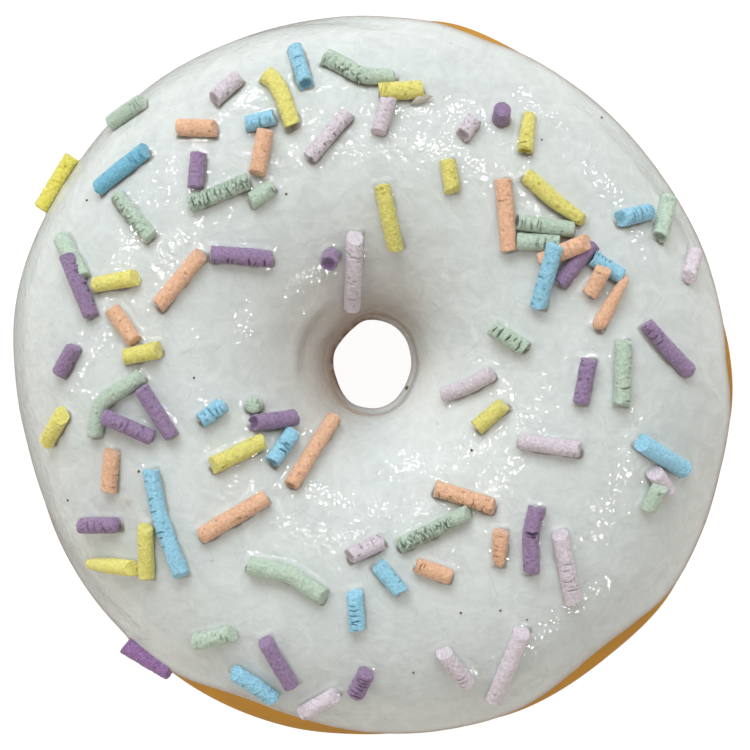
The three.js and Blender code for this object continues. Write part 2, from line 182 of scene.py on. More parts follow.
# Looks of a strand, in mm and degrees: cut, how far its two end faces are turned up; soft, how far each end is
# rounded; neck, the girth of each end; tears, how many, from and to which share of the length, on which side (90 is
# on top) and how deep; pits, how many; hollow, how deep each end is; crumb, how rough the clay is; tone, how much
# lighter it is; rich, how much stronger its colour is.
STRANDS = {"yellow": [
    lay((-14.7, 40.6), (-13.3, 39.6), (-12.2, 37.9), (-11.3, 35.3), (-10.6, 33.1), cut=(21, -16),
        neck=(1.12, 0.98), pits=6, girth=1.02),
    lay((1, 37.9), (6.8, 38.2), tears=(4, 0.0, 0.3, 120, 0.14), pits=10, crumb=0.03, girth=1.08),
    lay((21.1, 35.2), (20.4, 29.9), soft=(0.4, 0.2), neck=(0.7, 0.95), tears=(3, 0.6, 1, 60, 0.3), crumb=0.06,
        hollow=(0, 0.5), girth=0.99),
    lay((10, 28.8), (10.7, 24.3), pits=10, cut=(-8, 14), girth=0.96),
    lay((1.2, 25.6), (3.1, 16.9), soft=(0.3, 0.1), cut=(-16, 0), crumb=0.06, pits=5, tone=-0.04, girth=0.96),
    lay((20.3, 26.9), (24.1, 23.5), (28.3, 20.5), soft=(0.5, 0.2), neck=(1, 0.75), cut=(-8, 19), pits=16,
        girth=1.01),
    lay((-37.3, 12.1), (-31.3, 13.1), cut=(0, 19), neck=(0.95, 1.06), pits=4, tone=0.03, girth=0.97),
    lay((-33.1, 2.5), (-28.1, 3.5), cut=(0, 21), neck=(0.98, 1.05), pits=3, girth=1.01),
    lay((-41.5, -4.9), (-44.2, -9.2), cut=(36, -8), soft=(0.1, 0.4), pits=5, tone=0.04, girth=0.99),
    lay((-38.7, -25.5), (-35.1, -25.7), (-31.7, -25.9), neck=(0.5, 1.15), soft=(0.5, 0.1), cut=(0, 28), pits=2,
        tone=0.07, girth=1.1),
    lay((-30.3, -19.9), (-30.3, -27.5), cut=(22, 14), neck=(0.96, 1), pits=5, tears=(2, 0.3, 0.7, 20, 0.12),
        girth=0.99),
    lay((13.8, -7.1), (17.6, -3.8), pits=2, cut=(10, 7), girth=0.99),
    lay((-21.5, -12.1), (-14.5, -8.7), cut=(19, 0), soft=(0.1, 0.4), pits=7, neck=(1.05, 1), girth=1.01),
], "blue": [
    lay((-37.2, 25.1), (-30.3, 30.4), cut=(-16, 18), pits=8, tears=(3, 0.65, 0.95, 100, 0.14), tone=-0.16,
        rich=0.2, girth=1.02),
    lay((-10.6, 44.5), (-8.9, 38.8), tears=(2, 0.28, 0.72, 90, 0.4), cut=(14, 14), hollow=(0, 0.4), pits=5,
        tone=-0.05, girth=0.95),
    lay((-16.9, 33.6), (-13.1, 34.5), tears=(4, 0.2, 1, 80, 0.2), hollow=(0.3, 0.2), crumb=0.05, girth=0.99),
    lay((33, 21), (37.5, 22.1), tears=(8, 0.2, 1, 80, 0.22), hollow=(0.15, 0), cut=(18, 0), crumb=0.05,
        girth=1.02),
    lay((24.3, 17.4, 1.9), (22, 8.9), tears=(6, 0.35, 1, 10, 0.3), pits=14, soft=(0.3, 0.5), girth=1.01),
    lay((29.3, 15.8), (33.3, 13.2), tears=(5, 0, 0.5, 150, 0.35), hollow=(0.5, 0), girth=0.97),
    lay((35.5, -8.7), (42.3, -12.9), cut=(28, 0), soft=(0.1, 0.35), pits=2, tone=0.03, girth=1.07),
    lay((-29.6, -12.5), (-28.4, -18.6), (-25.4, -27), tears=(9, 0.06, 0.72, 20, 0.28), cut=(7, 19),
        neck=(0.98, 1.05), pits=6, tone=0.03, girth=0.99),
    lay((-19, -39.8), (-15.8, -41.8), (-13.1, -43.9), soft=(0.7, 0.6), crumb=0.09, tears=(6, 0.1, 0.9, 0, 0.2),
        tone=0.06, girth=0.97),
    lay((-2.4, -28.6), (-2, -33.9), cut=(25, 0), tears=(6, 0.35, 1, 90, 0.24), pits=3, tone=0.04, girth=0.99),
    lay((0.6, -25), (3.9, -28.9), cut=(22, 0), tears=(4, 0.1, 0.8, 170, 0.22), pits=2, tone=0.03, girth=1.01),
    lay((-22.9, -6.1), (-19.8, -3.8), tears=(4, 0.2, 0.9, 90, 0.26), pits=16, hollow=(0.3, 0), crumb=0.05,
        girth=0.99),
    lay((-13.4, -11.6), (-10.6, -7.6), tears=(3, 0.3, 0.55, 90, 0.45), hollow=(0.3, 0), pits=4, girth=1.01),
], "green": [
    lay((-35.8, 34.4), (-31.1, 37.4), cut=(0, 14), pits=3, tears=(2, 0.7, 0.95, 90, 0.15), tone=-0.04, girth=0.99),
    lay((-34.4, 24.3), (-29.5, 18.3), tears=(12, 0, 0.9, 10, 0.34), pits=10, crumb=0.05, soft=(0.4, 0.4),
        neck=(0.82, 1.02), girth=0.97),
    lay((-6.3, 42.9), (-1.4, 40.3), (3.1, 39.9), tears=(9, 0, 0.6, 30, 0.36), pits=6, soft=(0.2, 0.7),
        neck=(1, 0.85), girth=1.08),
    lay((-24.4, 22.7), (-16.5, 25.9), tears=(16, 0, 1, 90, 0.42), pits=6, crumb=0.07, tone=-0.02, girth=1.02),
    lay((-16.3, 23.1), (-13.1, 25.2), tears=(2, 0.7, 1, 60, 0.25), cut=(7, -16), pits=3, girth=1.02),
    lay((40.4, 24), (38.7, 18.6), tears=(2, 0.1, 0.3, 90, 0.3), pits=8, hollow=(0, 0.3), tone=0.06, girth=0.99),
    lay((19, 20.5), (27, 19.4), tears=(5, 0.05, 0.5, 90, 0.24), pits=12, hollow=(0.4, 0), cut=(14, 7), girth=0.95),
    lay((19.2, 17.9), (24.8, 17.6), tears=(5, 0.4, 0.9, 80, 0.3), pits=16, hollow=(0.3, 0), girth=1.02),
    lay((33.5, 4.8), (33.2, -4.1), tears=(6, 0, 1, 150, 0.22), pits=6, cut=(21, 7), neck=(0.95, 1.06), girth=1.02),
    lay((16, 6.4), (20.5, 3.5), tears=(6, 0.1, 0.9, 80, 0.45), hollow=(0, 0.5), pits=5, girth=0.99),
    lay((-42.2, 18.8), (-38.8, 13.1), pits=2, soft=(0.5, 0.3), tone=0.06, girth=1.01),
    lay((-30.7, 0), (-33.2, -1.7), (-35.5, -3.2), (-36.6, -4.8), (-37.2, -8.2), pits=10, soft=(0.3, 0.4),
        tone=-0.03, girth=0.95),
    lay((-23.9, -35.9), (-18.4, -34.4), pits=18, cut=(0, 21), tears=(2, 0.7, 0.9, 90, 0.2), tone=0.05, girth=0.99),
    lay((-16.6, -25.2), (-10.9, -26.5), (-6.1, -29.7), pits=5, cut=(-8, 22), tone=0.06, girth=1.1),
    lay((3.5, -22.8), (13, -18.1, 0.5), tears=(16, 0, 0.75, 90, 0.4), cut=(0, 18), neck=(1.02, 0.95), girth=0.96),
    lay((38.6, -14.6, 1.2), (36.9, -18.2), cut=(22, 0), soft=(0.1, 0.4), neck=(1.05, 0.92), pits=3, girth=0.97),
    lay((-15.9, -4, -1.2), (-15.9, -3.9, 0.4), crumb=0.08, soft=(0.1, 0.5), tears=(3, 0.6, 1, 90, 0.2),
        girth=1.02),
], "violet": [
    lay((-23.2, 29.7), (-23.6, 25), pits=3, tears=(2, 0.2, 0.8, 90, 0.1), girth=0.96),
    lay((17.1, 34.2, -1), (17.4, 35.5, 1.6), pits=3, tone=-0.05, girth=1.02),
    lay((29.4, 17.6), (24.9, 12.2), pits=4, tone=-0.05, girth=0.95),
    lay((36.6, 7), (39.6, 3.5), (42.9, 0.3), tears=(4, 0, 0.35, 60, 0.24), crumb=0.04, soft=(0.2, 0.6),
        neck=(0.85, 1.02), pits=3, girth=0.98),
    lay((28.9, 2.3), (27.7, -3.8), tears=(7, 0, 1, 20, 0.26), pits=14, cut=(14, 0), soft=(0.1, 0.5), girth=0.98),
    lay((-5.4, 16.3, -1), (-5.8, 14.9, 1.2), hollow=(0, 0.3), pits=3, tone=-0.05, girth=1.02),
    lay((-21.5, 16.2), (-13.1, 15.5), tears=(11, 0.05, 0.95, 12, 0.3), hollow=(0, 0.4), cut=(0, 10), girth=1.02),
    lay((-41, 16.1, 1), (-37.5, 7.8), tears=(7, 0.1, 0.95, 160, 0.22), pits=8, soft=(0.1, 0.4), tone=-0.05,
        girth=0.97),
    lay((-39.9, 3.9), (-42.2, 0.1), pits=4, soft=(0.3, 0.4), tone=-0.06, girth=0.95),
    lay((-30.8, -1.6, 1), (-26.6, -8.2), pits=8, soft=(0.4, 0.3), girth=0.95),
    lay((-36, -5.4, 1), (-29.2, -8.3), pits=20, tears=(3, 0.3, 0.8, 80, 0.2), soft=(0.5, 0.2), girth=0.96),
    lay((-39.6, -20.3), (-34, -20), pits=14, tears=(3, 0.3, 0.8, 90, 0.34), soft=(0.7, 0.75), girth=0.97),
    lay((-14.5, -35.2), (-10.8, -41.8), pits=3, cut=(21, 0), tone=0.02, girth=0.97),
    lay((-0.8, -39.7, 0.4), (-2.3, -42.9), tears=(6, 0, 1, 90, 0.26), crumb=0.05, pits=3, girth=1.04),
    lay((22, -17.4), (21.2, -20.6), (21.1, -23.2), (21.2, -26.4), tears=(3, 0.38, 0.5, 115, 0.6),
        neck=(1.06, 0.95), pits=20, hollow=(0.3, 0), soft=(0.2, 0.5), crumb=0.03, girth=1.01),
    lay((-16.2, -6.4), (-10.3, -5.6), cut=(21, 0), hollow=(0.45, 0), pits=3, tone=-0.02, girth=0.99),
], "pink": [
    lay((-21.4, 37), (-17.9, 40.2), pits=12, crumb=0.05, cut=(14, -8), hollow=(0.2, 0.2), girth=1.02),
    lay((-3.3, 35), (-8.4, 29), pits=16, tears=(6, 0.1, 0.9, 150, 0.2), hollow=(0, 0.45), crumb=0.04, girth=0.92),
    lay((2.2, 37, 1), (0.7, 32.1), pits=4, cut=(0, 21), soft=(0.3, 0.1), girth=0.96),
    lay((13.7, 34.4), (11.9, 31.8), pits=12, crumb=0.06, cut=(0, 18), hollow=(0.1, 0.3), girth=0.97),
    lay((43.9, 16.8), (42.6, 13.1), pits=2, cut=(0, 14), tone=0.08, girth=0.95),
    lay((9.5, -2.6), (12.8, -1.4), (16, 0.3), pits=3, cut=(-12, 0), tears=(2, 0.1, 0.6, 20, 0.1), girth=0.96),
    lay((-2.3, 18.9), (-2.8, 9), pits=20, tears=(3, 0.1, 0.9, 90, 0.2), cut=(28, 7), tone=0.03, girth=1.02),
    lay((-4.8, -42.8), (-9.5, -45.7), pits=5, cut=(26, 0), tone=0.1, girth=0.92),
    lay((-3.3, -24.2), (1.5, -22), pits=8, tears=(4, 0.3, 1, 150, 0.22), cut=(18, 0), hollow=(0.2, 0.2),
        girth=0.99),
    lay((19.5, -8.7), (27.8, -9.9), pits=4, tears=(2, 0.85, 1, 0, 0.2), cut=(-10, 10), girth=0.98),
    lay((24.9, -20.8), (26.9, -30.4), cut=(24, 0), tears=(4, 0.35, 0.9, 90, 0.2), pits=6, crumb=0.03, girth=1.01),
    lay((37.6, -12.7), (39.7, -15.7), cut=(22, 0), pits=3, girth=1.02),
    lay((9.3, -36.7), (12.9, -41.6), cut=(23, 0), tears=(3, 0.6, 0.95, 60, 0.22), pits=6, girth=0.99),
    lay((20.2, -34), (16.2, -44.2), cut=(24, 10), pits=5, tone=0.05, neck=(1.04, 0.96), girth=1.02),
], "orange": [
    lay((-26.1, 33.3), (-20.9, 33), pits=2, cut=(0, 7), soft=(0.3, 0.1), girth=1.04),
    lay((-14.2, 32.9, 0.9), (-15.4, 26.5), pits=3, cut=(14, 21), tone=-0.01, girth=1.01),
    lay((17.4, 26.3), (18.2, 16.6), pits=4, tears=(2, 0.22, 0.34, 90, 0.14), cut=(7, 0), girth=1.01),
    lay((22.3, 15.2), (28.9, 17.9, 1.6), tears=(7, 0.1, 0.9, 90, 0.08), pits=4, cut=(0, 25), girth=1.01),
    lay((30.9, 14.4, 1.5), (28.8, 10.6), pits=3, cut=(19, 7), crumb=0.02, girth=0.99),
    lay((34, 13, 0.8), (32.8, 11.4, 0.6), (31.2, 8.5), (29.9, 6.2), neck=(0.4, 0.9), soft=(0.2, 1), girth=0.97),
    lay((-22.6, 16.4), (-28.6, 9.2), pits=2, cut=(22, 7), girth=0.98),
    lay((-34.9, 9.1), (-31.5, 4.4), pits=3, tears=(2, 0.3, 0.9, 100, 0.1), cut=(7, 14), girth=0.97),
    lay((-34.8, -9.9), (-35.3, -15.5), tears=(6, 0, 1, 150, 0.14), pits=5, crumb=0.04, cut=(18, 0), girth=0.99),
    lay((5.8, -25.2), (10.6, -26.9), tears=(3, 0, 0.3, 90, 0.24), hollow=(0.3, 0), soft=(0.2, 0.4), crumb=0.03,
        girth=0.96),
    lay((8.2, -15), (16.3, -17.5), pits=22, tears=(9, 0.1, 1, 30, 0.2), crumb=0.05, cut=(14, 7), girth=0.99),
    lay((17.1, -20.5), (16.8, -25.4), tears=(6, 0, 1, 60, 0.2), crumb=0.07, neck=(1, 0.65), soft=(0.2, 0.6),
        cut=(18, 0), girth=0.95),
    lay((-5.1, -5.5), (-10.9, -14.7), pits=22, hollow=(0.6, 0.4), cut=(18, 0), soft=(0.1, 0.4), crumb=0.03,
        girth=0.95),
    lay((-23, -21.5), (-14.1, -16.2), pits=14, soft=(0.5, 0.2), girth=1.01),
]}
# Two strands cling to the ring's side: colour, the ends as (x, y, z), and looks; their stronger colour (rich) is
# painted light, for the light falling full on the ring's side
SIDE_STRANDS = [
    ("yellow", ((-41.3, 30.1, 18.3), (-45.7, 22.9, 18.3)),
     dict(pits=6, girth=1.1, soft=(0.3, 0.3), tone=0.02, rich=0.12)),
    ("violet", ((-34.1, -36.8, 21.4), (-27.5, -40.5, 23.2)),
     dict(pits=10, girth=1.1, cut=(14, 0), soft=(0.1, 0.5), tone=0.06, rich=0.4)),
]
# Grains of dust in the coat: (x, y, size)
SPECKS = [
    (4.8, -1.75, 0.6), (13.3, -10, 0.4), (11.8, -31.7, 0.35), (17.1, -31.4, 0.3), (20.7, -32.7, 0.25),
    (-31.2, -12.8, 0.4), (-41.3, -16.9, 0.3), (-11.5, 24.2, 0.35), (-38.6, 23.7, 0.35), (31.3, 35.2, 0.3),
    (22.7, 31.6, 0.3), (-23.8, -0.3, 0.3), (5.5, -39.9, 0.3)]
# Middle of a faint brown smear in the coat
STAIN = (-32.7, -17.1)
# Outline of a loose chip of glaze beside a strand: (x, y, lift off the coat)
CHIP = [(5.0, 36.3, 0.1), (5.9, 36.2, 0.05), (7.0, 36.5, 0.1), (8.1, 37.3, 0.5), (7.2, 37.5, 0.9), (6.0, 37.2, 0.9)]
CHIP_THICKNESS = 0.35


def smooth_curve(points, steps=24):
    """Fine points along an even curve through the given points."""
    p = np.vstack([2 * points[0] - points[1], points, 2 * points[-1] - points[-2]])
    out = []
    for i in range(1, len(p) - 2):
        a, b, c, d = p[i - 1:i + 3]
        for t in np.arange(steps) / steps:
            out.append(0.5 * (2 * b + (c - a) * t + (2 * a - 5 * b + 4 * c - d) * t ** 2
                              + (3 * b - a - 3 * c + d) * t ** 3))
    out.append(p[-2])
    return np.array(out)


def strand_path(run):
    """Centre line of a strand that lies on the icing."""
    path = []
    for (x0, y0, l0), (x1, y1, l1) in zip(run, run[1:]):
        steps = max(1, round(math.hypot(x1 - x0, y1 - y0) / BEND))
        for k in range(steps):
            t = k / steps
            path.append(on_skin(x0 + (x1 - x0) * t, y0 + (y1 - y0) * t, REST_HEIGHT + l0 + (l1 - l0) * t))
    path.append(on_skin(run[-1][0], run[-1][1], REST_HEIGHT + run[-1][2]))
    return smooth_curve(np.array(path))


def noise_at(points, grain, seed):
    """Smooth noise from -1 to 1 at each point, with features of about one grain."""
    shift = Vector((seed * 7.31, seed * 3.17, seed * 5.77))
    return np.array([noise.noise(Vector(p / grain) + shift) for p in points.reshape(-1, 3)]).reshape(
        points.shape[:-1])


def bell(x, width):
    """1 where x is 0, dying out over about the width to both sides."""
    return np.exp(-(x / width) ** 2)


def unit(vectors):
    return vectors / np.linalg.norm(vectors, axis=-1, keepdims=True)


def turned_from(angle, middle):
    """How far an angle is from the middle one, within half a turn to either side."""
    return (angle - middle + np.pi) % (2 * np.pi) - np.pi


# ---------------------------------------------------------------- one strand
def ragged_cut(radius, tilt, angle, rng, seed, end):
    """How far in an end face is cut at each angle round the strand: tilted, ragged and chipped."""
    slope, skew = math.tan(math.radians(tilt)), math.tan(math.radians(rng.uniform(-9, 9)))
    chip = rng.uniform(0, 2 * math.pi)
    chipped = rng.uniform(0, 0.22) * bell(turned_from(angle, chip), 0.4)
    rim = np.stack([np.cos(angle), np.sin(angle), 0 * angle], -1)
    return (radius * (slope * np.sin(angle) + skew * np.cos(angle) + abs(slope) * (0.68 if slope > 0 else 1))
            + 0.09 * noise_at(rim, 0.6, seed + end * 9) + 0.05 * noise_at(rim, 0.22, seed + end * 7) + chipped)


def tear(tears, r, deep, s, length, local, angle, rng, seed):
    """Cuts tears across the strand into deep, zigzag, and lifts their edges in r."""
    count, low, high, at, depth = tears
    if count > 8 and depth > 0.3:  # many small tears run together into a torn patch
        share = s / length
        patch = np.clip((share - low) / 0.1 + 0.5, 0, 1) * np.clip((high - share) / 0.1 + 0.5, 0, 1)
        away = np.abs(turned_from(angle, math.radians(at))) / math.radians(80)
        patch = patch * np.clip(1.4 - away ** 2, 0, 1) * np.clip(0.75 + 1.6 * noise_at(local, 0.9, seed + 6), 0, 1)
        pitch = length * (high - low) / count
        lines = noise_at(local * [0.34, 0.34, 0.66 / pitch], 0.4, seed + 8)
        torn = np.clip(1 - np.abs(lines) / 0.2, 0, 1) * patch
        deep += 0.8 * depth * torn
        r += 0.25 * depth * patch * np.clip(lines * 2, -1, 1)
        count = count // 2
    for k in range(count):
        place = length * (low + (high - low) * (k + rng.uniform(0.2, 0.8)) / count)
        turn = math.radians(at + rng.uniform(-30, 30))
        half = math.radians(rng.uniform(16, 55))
        width = rng.uniform(0.05, 0.11)
        zig = 0.22 * noise_at(local * [1, 1, 0], 0.75, seed + 11 + k) + rng.uniform(-0.2, 0.2) * np.sin(angle)
        off = s - place - zig
        window = np.clip(1.25 - (np.abs(turned_from(angle, turn)) / half) ** 2, 0, 1)
        cleft = depth * rng.uniform(0.7, 1.3) * window
        deep += cleft * bell(off, width)
        r += 0.22 * cleft * bell(off - 2.2 * width, 1.4 * width)


def end_cap(rim, out, rim_at, free_at, hollow, soft, seed, flip):
    """Rings drawn in from the rim, whose points start at rim_at, to the middle of an end face, rough or hollow."""
    n = len(rim)
    middle = rim.mean(0)
    points, depths, faces = [], [], []
    for share in (0.86, 0.62, 0.34):
        ring = middle + (rim - middle) * share
        sink = hollow * (1 - share ** 2) - 0.12 * min(soft, 1) * (1 - share ** 2)
        rough = 0.05 * noise_at(ring, 0.4, seed + 31)
        points.append(ring + out * (rough - sink)[:, None])
        depths.append(np.full(n, max(0.0, hollow) * (1 - share ** 2)))
        for k in range(n):
            a, b = rim_at + k, rim_at + (k + 1) % n
            c, d = free_at + (k + 1) % n, free_at + k
            faces.append((a, b, c, d) if flip else (b, a, d, c))
        rim_at, free_at = free_at, free_at + n
    points.append((middle - out * hollow)[None])
    depths.append(np.array([hollow]))
    for k in range(n):
        a, b = rim_at + k, rim_at + (k + 1) % n
        faces.append((a, b, free_at) if flip else (b, a, free_at))
    return np.vstack(points), np.concatenate(depths), faces


def strand_skin(path, seed, cut=(0, 0), soft=(0.14, 0.14), neck=(1, 1), tears=None, pits=0, hollow=(0, 0),
                crumb=0.015, girth=1.0, tone=0.0, rich=0.0):
    """Points, faces, crisp faces and values kept at the points, of one strand of torn, pitted clay."""
    rng = random.Random(seed)
    radius = STRAND_RADIUS * girth
    run = np.linalg.norm(np.diff(path, axis=0), axis=1)
    first, last = path[1] - path[0], path[-1] - path[-2]
    path = np.vstack([path[0] - RUN_ON * first / np.linalg.norm(first), path,
                      path[-1] + RUN_ON * last / np.linalg.norm(last)])
    along = np.concatenate([[-RUN_ON, 0], np.cumsum(run), [run.sum() + RUN_ON]])
    length = run.sum()
    rings = max(12, round(length / STRAND_STEP))
    angle = np.arange(STRAND_SIDES) / STRAND_SIDES * 2 * np.pi
    start, end = [ragged_cut(radius, cut[e], angle, rng, seed, e) for e in (0, 1)]
    t = np.linspace(0, 1, rings)[:, None]
    s = start + t * (length - end - start)

    centre, ahead, behind = [
        np.stack([np.interp(s + shift, along, path[:, k]) for k in range(3)], -1) for shift in (0, 0.3, -0.3)]
    tangent = unit(ahead - behind)
    up = np.array([1.0, 0, 0]) if abs(tangent[..., 2].mean()) > 0.8 else np.array([0, 0, 1.0])
    side = unit(np.cross(tangent, up))
    top = np.cross(side, tangent)
    radial = side * np.cos(angle)[:, None] + top * np.sin(angle)[:, None]

    # the clay's own lumps and grit, from coarse to fine
    local = np.stack([np.broadcast_to(radius * np.cos(angle), s.shape),
                      np.broadcast_to(radius * np.sin(angle), s.shape), s], -1)
    r = radius * (neck[0] + (neck[1] - neck[0]) * t) * np.ones_like(s)
    if min(neck) < 0.9:  # a drawn-out tip is full until near the end
        full = 1 - np.abs(1 - neck[0]) * (1 - t) ** 2 - np.abs(1 - neck[1]) * t ** 2
        r = radius * full * np.ones_like(s)
    r += 0.07 * noise_at(local * [1, 1, 0.6], 2.2, seed)
    grain = noise_at(local * [1, 1, 0.8], 0.42, seed + 3)
    r += (0.05 + crumb) * grain + (0.035 + 0.4 * crumb) * noise_at(local, 0.24, seed + 4)

    # tears and pits
    deep = np.zeros_like(s)
    if tears:
        tear(tears, r, deep, s, length, local, angle, rng, seed)
    for _ in range(pits):
        place, turn = rng.uniform(0.05, 0.95) * length, rng.uniform(0, math.pi)
        size = rng.uniform(0.09, 0.19)
        off = np.hypot((s - place) * rng.uniform(0.7, 1.4), radius * turned_from(angle, turn)) / size
        deep += rng.uniform(0.1, 0.26) * np.exp(-off ** 2 * 1.2)
    r -= np.minimum(deep, 0.62 * radius)

    # the ends turn over
    for e, gone in ((0, s - start), (1, (length - end) - s)):
        share = np.clip(1 - gone / soft[e], 0, 1)
        r = np.where(share > 0, r - (min(soft[e], 0.75 * radius)) * (1 - np.sqrt(1 - share ** 2)), r)
    skin = centre + radial * r[..., None]

    n = STRAND_SIDES
    faces = [(i * n + k, i * n + (k + 1) % n, (i + 1) * n + (k + 1) % n, (i + 1) * n + k)
             for i in range(rings - 1) for k in range(n)]
    points, torn, crisp = [skin.reshape(-1, 3)], [deep.reshape(-1)], []
    for e, ring in ((0, 0), (1, rings - 1)):
        out = tangent[ring].mean(0) * (1 if e else -1)
        out /= np.linalg.norm(out)
        crisp += range(len(faces), len(faces) + n)
        more, depths, caps = end_cap(skin[ring], out, ring * n, sum(len(p) for p in points), hollow[e], soft[e],
                                     seed, e)
        faces += caps
        points.append(more)
        torn.append(depths)
    torn = np.concatenate(torn)
    return np.vstack(points), faces, crisp, dict(torn=torn, tone=np.full(len(torn), tone),
                                                 rich=np.full(len(torn), rich))


# ---------------------------------------------------------------- making pieces
def placed(name, data):
    thing = bpy.data.objects.new(name, data)
    bpy.context.scene.collection.objects.link(thing)
    return thing


def piece_from(name, points, faces, material, crisp=(), **values):
    """A piece, smooth but for its crisp faces, from points in millimetres, with values kept at its points."""
    mesh = bpy.data.meshes.new(name)
    mesh.from_pydata(np.clip(np.asarray(points) * MM, *LIMITS).tolist(), [], faces)
    mesh.update()
    smooth = np.ones(len(mesh.polygons), bool)
    smooth[list(crisp)] = False
    mesh.polygons.foreach_set("use_smooth", smooth)
    for key, value in values.items():
        mesh.attributes.new(key, "FLOAT", "POINT").data.foreach_set("value", np.asarray(value, np.float32))
    mesh.materials.append(material)
    return placed(name, mesh)


def joined(parts):
    """Points, faces, crisp faces and values of several parts as one."""
    points, faces, crisp, values, count = [], [], [], {}, 0
    for its_points, its_faces, its_crisp, its_values in parts:
        crisp += [i + len(faces) for i in its_crisp]
        faces += [tuple(i + count for i in face) for face in its_faces]
        points.append(its_points)
        count += len(its_points)
        for key, value in its_values.items():
            values.setdefault(key, []).append(value)
    return np.vstack(points), faces, crisp, {key: np.concatenate(value) for key, value in values.items()}


def swept_faces(around, rows):
    """Faces of a skin that is closed round the ring and round its section."""
    i, j = np.meshgrid(np.arange(around), np.arange(rows), indexing="ij")
    ahead, over = (i + 1) % around, (j + 1) % rows
    return np.stack([i * rows + j, ahead * rows + j, ahead * rows + over, i * rows + over], -1).reshape(-1, 4)


def to_space(bearing, r, z):
    a = np.radians(bearing)
    return np.stack([r * np.cos(a), r * np.sin(a), z + 0 * r], -1)


def grid_normals(points):
    """Outward normals of a swept skin, open along its rows."""
    around = np.roll(points, -1, 0) - np.roll(points, 1, 0)
    return unit(np.cross(around, np.gradient(points, axis=1)))


def distance_to_strands(points, laid):
    """Distance from each point to the nearest strand's skin, flat at its ends, and how far it lies on that strand's
    side away from the main light, where painted shadow goes.
    """
    nearest, shadow_side = np.full(len(points), FAR), np.zeros(len(points))
    for _, path, looks in laid:
        near = np.where(((points > path.min(0) - 3) & (points < path.max(0) + 3)).all(1))[0]
        if not len(near):
            continue
        p = points[near]
        knots = np.vstack([path[:-1:4], path[-1:]])
        radius = STRAND_RADIUS * looks.get("girth", 1)
        middle, past, behind = np.full(len(p), 99.0), np.zeros(len(p)), np.zeros(len(p))
        for k, (a, b) in enumerate(zip(knots[:-1], knots[1:])):
            ab = b - a
            t = ((p - a) @ ab) / (ab @ ab)
            is_first, is_last = k == 0, k == len(knots) - 2
            on_line = np.clip(t, -9 if is_first else 0, 9 if is_last else 1)
            off = np.linalg.norm(p - a - on_line[:, None] * ab, axis=1)
            beyond = (t < 0) & is_first | (t > 1) & is_last
            over = np.maximum(np.maximum(-t, t - 1), 0) * np.linalg.norm(ab) * beyond
            away = (p - a - np.clip(t, 0, 1)[:, None] * ab)[:, :2]
            closer = off < middle
            middle, past = np.where(closer, off, middle), np.where(closer, over, past)
            behind = np.where(closer, away @ SHADOW_WAY / np.maximum(np.linalg.norm(away, axis=1), 0.01), behind)
        gap = np.where(past > 0, np.hypot(np.maximum(middle - radius, 0), past), middle - radius)
        first = gap < nearest[near]
        nearest[near] = np.where(first, gap, nearest[near])
        shadow_side[near] = np.where(first, behind, shadow_side[near])
    return nearest, shadow_side


def speck(x, y, size, seed):
    """A grain of burnt dust caught in the coat: a lumpy bead, sunk by half."""
    around, rows = 10, 5
    a, b = np.meshgrid(np.arange(around) / around * 2 * np.pi, np.linspace(0.15, 0.85, rows) * np.pi, indexing="ij")
    out = np.stack([np.cos(a) * np.sin(b), np.sin(a) * np.sin(b), np.cos(b)], -1)
    r = size / 2 * (1 + 0.35 * noise_at(out, 0.9, seed))[..., None]
    points = (on_skin(x, y, 0.0) + out * r * [1, 1, 0.5]).reshape(-1, 3)
    faces = [(i * rows + j, i * rows + j + 1, (i + 1) % around * rows + j + 1, (i + 1) % around * rows + j)
             for i in range(around) for j in range(rows - 1)]
    faces += [tuple(i * rows for i in range(around)), tuple(i * rows + rows - 1 for i in reversed(range(around)))]
    return points, faces, (), {}


def flake(outline):
    """A thin chip of glaze that leans on the coat, from its outline in plan with a lift off the coat."""
    under = np.array([on_skin(x, y, lift) for x, y, lift in outline])
    middle = under.mean(0) + [0, 0, 0.12]
    lift = [0, 0, CHIP_THICKNESS]
    n = len(outline)
    faces = []
    for i in range(n):
        j = (i + 1) % n
        faces += [(i, j, j + n, i + n), (j, i, 2 * n), (i + n, j + n, 2 * n + 1)]
    return np.vstack([under, under + lift, middle, middle + lift]), faces


def make_dough(material):
    bearing = (np.arange(DOUGH_AROUND) / DOUGH_AROUND * 360)[:, None]
    phase = (np.arange(DOUGH_ROWS) / DOUGH_ROWS * 360)[None, :]
    r, z = section_point(section_at(bearing, ICING_SIDE, ICING_TOP), (phase + 180) % 360 - 180)
    points = to_space(bearing, r, z)
    return piece_from("ring_body", points.reshape(-1, 3), swept_faces(DOUGH_AROUND, DOUGH_ROWS).tolist(), material)


def coat_relief(points, along, left, turn, foot):
    """How far the coat stands off its nominal skin; along and left run from its outer and its inner edge."""
    # rolled edge with a soft groove above it
    relief = BEAD * bell(along, 1.6) - GROOVE * bell(along - 4, 1.5)
    # slow unevenness of a hand-poured coat, dying out towards the edges
    calm = np.clip(along / 12, 0.15, 1) * np.clip(left / 6, 0.2, 1)
    relief += calm * (0.12 * noise_at(points, 12, 1) + 0.03 * noise_at(points, 4.2, 4))
    # a fold where the coat turns down into the hole
    plan = np.hypot(points[..., 0], points[..., 1] - HOLE_SHIFT)
    fold = np.clip(1.3 - (np.abs((turn - FOLD_BEARING + 180) % 360 - 180) / FOLD_HALF) ** 2, 0, 1)
    relief += fold * (0.3 * bell(plan - 10.8, 0.9) - 0.45 * bell(plan - 8.9, 0.9))
    # the wet coat climbs a little round each strand
    relief += CLIMB * np.clip(1 - foot / CLIMB_REACH, 0, 1) ** 2
    return relief - DRAWN_IN


